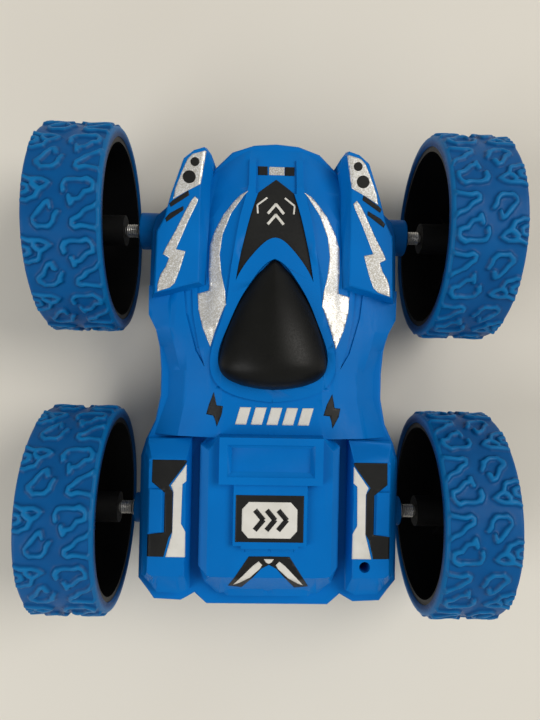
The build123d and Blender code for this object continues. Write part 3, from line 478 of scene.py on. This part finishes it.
for face_name, flipped in (("upper", False), ("lower", True)):
    rows = canopy_points()
    if flipped:
        rows = [turned_over(row) for row in rows]
    bm = bmesh.new()
    grid = [[bm.verts.new(Vector(p) * MM) for p in row] for row in rows]
    for row, following in zip(grid, grid[1:]):
        for j in range(len(row) - 1):
            bm.faces.new((row[j], row[j + 1], following[j + 1], following[j]))
        bm.faces.new((row[0], following[0], following[-1], row[-1]))
    bmesh.ops.remove_doubles(bm, verts=bm.verts, dist=0.01 * MM)
    bmesh.ops.recalc_face_normals(bm, faces=bm.faces)
    mesh = bpy.data.meshes.new(f"{face_name}_canopy_dome")
    bm.to_mesh(mesh)
    bm.free()
    dome = piece(f"{face_name}_canopy_dome", mesh, "black_matte", "chassis")
    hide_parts(f"{face_name}_canopy")

# ---- stickers ----------------------------------------------------------------------------------
# The outlines are laid out on a level plane at this height, and fall on the body along lines
# from the eye point.
LAYOUT_Z = 50.0
EYE = Vector((-6.14, 1.98, 230.11))
CELL = 0.7                          # the size of the cells that follow the body's shape
FILM = 0.14                         # the thickness of the sticker film
SCREWS = [(29.0, 31.0), (12.0, 56.5), (27.0, -8.0), (33.2, -60.0)]
SCREW_CLEAR = 2.6                   # the lower stickers stay this far from the screws
DOOR_BACK = -49.7                   # the badge on the battery door ends with the door


def tree_of(*names):
    """The surfaces of some CAD pieces together, for finding where a line meets them."""
    vertices, polygons = [], []
    for name in names:
        start = len(vertices)
        mesh = nodes[name].data
        vertices += [v.co / MM for v in mesh.vertices]
        polygons += [[start + i for i in p.vertices] for p in mesh.polygons]
    return BVHTree.FromPolygons(vertices, polygons)


UPPER = tree_of("upper_shell", "upper_hood_panel")


def landing(x, y):
    """Where a point of the layout lies on the upper face of the body."""
    aim = Vector((x, y, LAYOUT_Z)) - EYE
    hit = UPPER.ray_cast(EYE, aim)[0]
    return hit if hit else Vector((x, y, LAYOUT_Z))


def draped(outline, lift):
    """An outline cut into small cells and laid on the body; returns points and faces."""
    bm = bmesh.new()
    bm.faces.new([bm.verts.new((x, y, 0)) for x, y in outline])
    bmesh.ops.triangulate(bm, faces=bm.faces)
    for axis in (0, 1):
        values = [v.co[axis] for v in bm.verts]
        place = math.ceil(min(values) / CELL) * CELL
        while place < max(values):
            origin, normal = Vector((0, 0, 0)), Vector((0, 0, 0))
            origin[axis], normal[axis] = place, 1
            bmesh.ops.bisect_plane(
                bm, geom=bm.verts[:] + bm.edges[:] + bm.faces[:], plane_co=origin, plane_no=normal
            )
            place += CELL
    bmesh.ops.remove_doubles(bm, verts=bm.verts, dist=0.01)
    bm.verts.index_update()
    points = []
    for vertex in bm.verts:
        spot = landing(vertex.co.x, vertex.co.y)
        points.append((spot.x, spot.y, spot.z + lift))
    faces = [[v.index for v in face.verts] for face in bm.faces]
    bm.free()
    return points, faces


def mirrored(points):
    """The same points on the other side of the car."""
    return [(-x, y, z) for x, y, z in points]


def sticker(name, slot, layers, body="chassis", flipped=False):
    """One piece from draped outlines: (outline, lift, whether it is repeated on the left)."""
    outward = -1 if flipped else 1
    bm = bmesh.new()
    for outline, lift, both in layers:
        if body == "battery_door":
            outline = [(x, max(y, DOOR_BACK)) for x, y in outline]
        points, faces = draped(outline, lift)
        for copy_ in ([points, mirrored(points)] if both else [points]):
            placed = turned_over(copy_) if flipped else copy_
            vertices = [bm.verts.new(Vector(p) * MM) for p in placed]
            for face in faces:
                middle = sum((vertices[i].co for i in face), Vector()) / len(face) / MM
                near = min(math.hypot(abs(middle.x) - x, middle.y - y) for x, y in SCREWS)
                if flipped and near < SCREW_CLEAR:
                    continue
                made = bm.faces.new([vertices[i] for i in face])
                made.normal_update()
                if made.normal.z * outward < 0:
                    made.normal_flip()
    bmesh.ops.delete(bm, geom=[v for v in bm.verts if not v.link_faces], context="VERTS")
    mesh = bpy.data.meshes.new(name)
    bm.to_mesh(mesh)
    bm.free()
    obj = piece(name, mesh, slot, body)
    film = obj.modifiers.new("film", "SOLIDIFY")
    film.thickness = FILM * MM
    film.offset = -1


def disc(x, y, r, count=20):
    """A round outline."""
    return [
        (x + r * math.cos(2 * math.pi * k / count), y + r * math.sin(2 * math.pi * k / count))
        for k in range(count)
    ]


def slab(x, y, width, height, lean=0.0):
    """A bar with its ends leaning sideways."""
    half = height / 2
    return [
        (x - width / 2 - lean, y - half), (x + width / 2 - lean, y - half),
        (x + width / 2 + lean, y + half), (x - width / 2 + lean, y + half),
    ]


def bar(x0, y0, x1, y1, width):
    """A straight bar between two points."""
    length = math.hypot(x1 - x0, y1 - y0)
    nx, ny = -(y1 - y0) / length * width / 2, (x1 - x0) / length * width / 2
    return [(x0 + nx, y0 + ny), (x0 - nx, y0 - ny), (x1 - nx, y1 - ny), (x1 + nx, y1 + ny)]


BLADE = [
    (8.5, 54.3), (10.6, 53), (12.5, 51), (15.5, 47), (18, 42), (19.4, 37.5), (19.6, 30),
    (19.3, 25.3), (19.5, 24), (22.7, 23), (22.4, 18), (21.2, 13), (18.9, 7.2), (17.5, 12),
    (15.8, 17), (14.5, 20), (14.9, 24), (16, 29), (16.6, 35), (15.8, 41), (13.3, 47.5),
    (10, 52.3),
]
HEADLIGHT = [
    (21.1, 66.2), (22.7, 56), (26.9, 53.7), (30.9, 51.2), (30.3, 54.4), (28.4, 59.6),
    (26.8, 63.4), (25.4, 64.9),
]
SLASH = [(26.4, 53.9), (26.1, 52.5), (31.5, 48.8), (32, 49.8), (31, 50.8)]
LOWER_SLASH = [(27.8, 49.2), (27.7, 48), (32.7, 44.3), (33.1, 45.4), (31.7, 47)]
BOLT = [
    (24.4, 52.2), (23.4, 51.3), (23.7, 50.2), (26.2, 44.8), (29.7, 36.2), (26.9, 35.6),
    (28.4, 30.2), (29.9, 26), (31.4, 24.6), (35, 23.4), (34.9, 25.8), (34.1, 28.6),
    (32.6, 30.9), (31.7, 33.6), (33.6, 34.6), (32.7, 36.6), (30.1, 41.4), (27, 48),
    (25.5, 50.8),
]
RIGHT_SMALL_BOLT = [
    (18.1, -6.4), (18.9, -10.5), (20.6, -10.6), (20.2, -13), (18.4, -16.6), (18, -14.4),
    (17.5, -13), (15.6, -12.8), (16.6, -9.4),
]
LEFT_SMALL_BOLT = [
    (-17.5, -6.4), (-16.6, -10.3), (-14.7, -10.5), (-15, -12.9), (-16.4, -16.6), (-16.8, -15),
    (-17.5, -13.4), (-19.6, -13), (-18.9, -10.2),
]
FENDER_BLACK = [
    (24.5, -26.8), (35.2, -26.8), (35.3, -33.4), (31.4, -36.6), (31.4, -48.4), (36.3, -49),
    (36.3, -55.6), (31.4, -55.7), (30, -50), (29, -48.3), (29, -36.3), (30.2, -34.4),
]
FENDER_CREAM = [
    (25, -28), (29.6, -34.4), (28.8, -36.4), (28.9, -48.4), (30.8, -55.7), (24.9, -55.7),
    (25, -48.2), (26.4, -45.8), (26.2, -34), (25, -33),
]
BADGE_BLACK = [(-10.2, -37), (10.2, -37), (10.2, -51), (-10.2, -51)]
BADGE_CREAM = [
    (-8.3, -41.2), (-6.3, -39), (6.3, -39), (8.3, -41.2), (8.3, -47.6), (6.3, -49.8),
    (-6.3, -49.8), (-8.3, -47.6),
]
PIPE_BLACK = [
    (-0.1, -55.2), (6.2, -55.3), (7.7, -57.6), (11.9, -64), (7.8, -64.4), (4.6, -61.3),
    (2.4, -58.9), (-0.1, -57.6),
]
PIPE_CREAM = [
    (3.2, -56.7), (2.1, -57.8), (2.8, -58.9), (5.8, -61.6), (8.8, -63.2), (10.4, -63.7),
    (8, -61.2), (5, -58.1),
]
PIPE_MIDDLE = [(-1.5, -56), (1.5, -56), (0.8, -57), (0, -57.4), (-0.8, -57)]

SILVER = [(BLADE, 0.12, True), (HEADLIGHT, 0.12, True), (BOLT, 0.14, True)]
SILVER += [(slab(0, 60.5, 4.6, 2.4), 0.14, False)]
BLACK = [
    (slab(3.9, 60.5, 2.9, 2.6), 0.12, True), (disc(24.6, 62.6, 1.35), 0.2, True),
    (disc(26.2, 58, 1.95), 0.2, True), (SLASH, 0.12, True), (LOWER_SLASH, 0.12, True),
    (RIGHT_SMALL_BOLT, 0.12, False), (LEFT_SMALL_BOLT, 0.12, False),
    (FENDER_BLACK, 0.1, True), (PIPE_BLACK, 0.12, True),
]
# generic marks: a chevron crest on the hood, slanted bars across the waist
CREAM = [
    (FENDER_CREAM, 0.15, True), (PIPE_CREAM, 0.2, True), (PIPE_MIDDLE, 0.2, False),
    (bar(5.4, 47.6, 5.6, 50.2, 0.5), 0.2, True), (bar(5.5, 50.2, 2.6, 52.4, 0.5), 0.2, True),
    (bar(-0.1, 50.6, 2.4, 47.6, 0.8), 0.22, True), (bar(-0.1, 47.4, 2.4, 44.4, 0.8), 0.22, True),
]
# the lower face leaves room for the power switch in the middle of the waist
UPPER_BARS = [(slab(x, -13.3, 3.3, 5.2, 0.7), 0.12, False) for x in (-8.6, -3.9, 0.8, 5.5, 10.2)]
LOWER_BARS = [(slab(x, -13.3, 3.3, 5.2, 0.7), 0.12, False) for x in (-11.3, -7.4, 7.4, 11.3)]
BADGE_MARK = [(bar(x, -41.4, x + 2.6, -44.4, 1.5), 0.24, False) for x in (-4.4, -0.9, 2.6)]
BADGE_MARK += [(bar(x + 2.6, -44.2, x, -47.4, 1.5), 0.24, False) for x in (-4.4, -0.9, 2.6)]

for face_name, flipped in (("upper", False), ("lower", True)):
    door = "battery_door" if flipped else "chassis"
    sticker(f"{face_name}_silver_stickers", "silver_foil", SILVER, flipped=flipped)
    sticker(f"{face_name}_black_stickers", "sticker_black", BLACK, flipped=flipped)
    bars = LOWER_BARS if flipped else UPPER_BARS
    sticker(f"{face_name}_cream_stickers", "sticker_cream", CREAM + bars, flipped=flipped)
    sticker(
        f"{face_name}_badge_panel", "sticker_black", [(BADGE_BLACK, 0.12, False)] + BADGE_MARK,
        body=door, flipped=flipped,
    )
    sticker(
        f"{face_name}_badge_field", "sticker_cream", [(BADGE_CREAM, 0.17, False)], body=door,
        flipped=flipped,
    )

# ---- floor, light and camera -------------------------------------------------------------------
FLOOR = 3                           # half the floor's width, in metres
corners = [(-FLOOR, -FLOOR, 0), (FLOOR, -FLOOR, 0), (FLOOR, FLOOR, 0), (-FLOOR, FLOOR, 0)]
floor_mesh = bpy.data.meshes.new("floor")
floor_mesh.from_pydata(corners, [], [(0, 1, 2, 3)])
floor = bpy.data.objects.new("floor", floor_mesh)
bpy.context.scene.collection.objects.link(floor)
floor_mesh.materials.append(
    surface(
        "floor", (0.66, 0.62, 0.55), (0.72, 0.69, 0.62), (0.45, 0.6), grain=60, grain_depth=0.05,
        mottle=3, specular=0.2,
    )
)


def area_light(name, place, size, power, colour):
    """A round soft light aimed at the car; its place and size are in metres."""
    light = bpy.data.lights.new(name, "AREA")
    light.shape = "DISK"
    light.size = size
    light.energy = power
    light.color = colour
    obj = bpy.data.objects.new(name, light)
    bpy.context.scene.collection.objects.link(obj)
    obj.location = place
    obj.rotation_euler = (-Vector(place)).to_track_quat("-Z", "Y").to_euler()


area_light("window", (1.3, 0.45, 1.5), 1.2, 22, (1.0, 0.965, 0.91))
area_light("doorway", (-1.3, -0.6, 1.2), 1.3, 15, (0.97, 0.97, 0.97))

# a soft room: brighter towards the walls than straight above, and brighter on the window's side
world = bpy.data.worlds.new("room")
world.use_nodes = True
tree, links = world.node_tree.nodes, world.node_tree.links
direction = tree.new("ShaderNodeTexCoord")
split = tree.new("ShaderNodeSeparateXYZ")
links.new(direction.outputs["Generated"], split.inputs["Vector"])
product = tree.new("ShaderNodeMath")
product.operation = "MULTIPLY"
links.new(spread(tree, links, split.outputs["Z"], 0.52, 0.34, 0.55, 0.97), product.inputs[0])
links.new(spread(tree, links, split.outputs["X"], 0.62, 1.3, -0.9, 0.9), product.inputs[1])
links.new(product.outputs["Value"], tree["Background"].inputs["Strength"])
tree["Background"].inputs["Color"].default_value = (0.97, 0.97, 0.95, 1)
bpy.context.scene.world = world
bpy.context.scene.view_settings.view_transform = "Standard"

# the camera looks almost straight down from the eye point; its small turns are in radians
TURN_X, TURN_Y, TURN_Z = -0.00838, 0.02947, -0.02060
camera_data = bpy.data.cameras.new("camera")
camera_data.lens = 30.0
camera_data.sensor_width = 36.0
camera = bpy.data.objects.new("camera", camera_data)
bpy.context.scene.collection.objects.link(camera)
look = (
    Matrix.Rotation(TURN_X, 3, "X") @ Matrix.Rotation(TURN_Y, 3, "Y")
    @ Matrix.Rotation(TURN_Z, 3, "Z")
)
camera.matrix_world = Matrix.Translation(EYE * MM) @ look.transposed().to_4x4()
bpy.context.scene.camera = camera
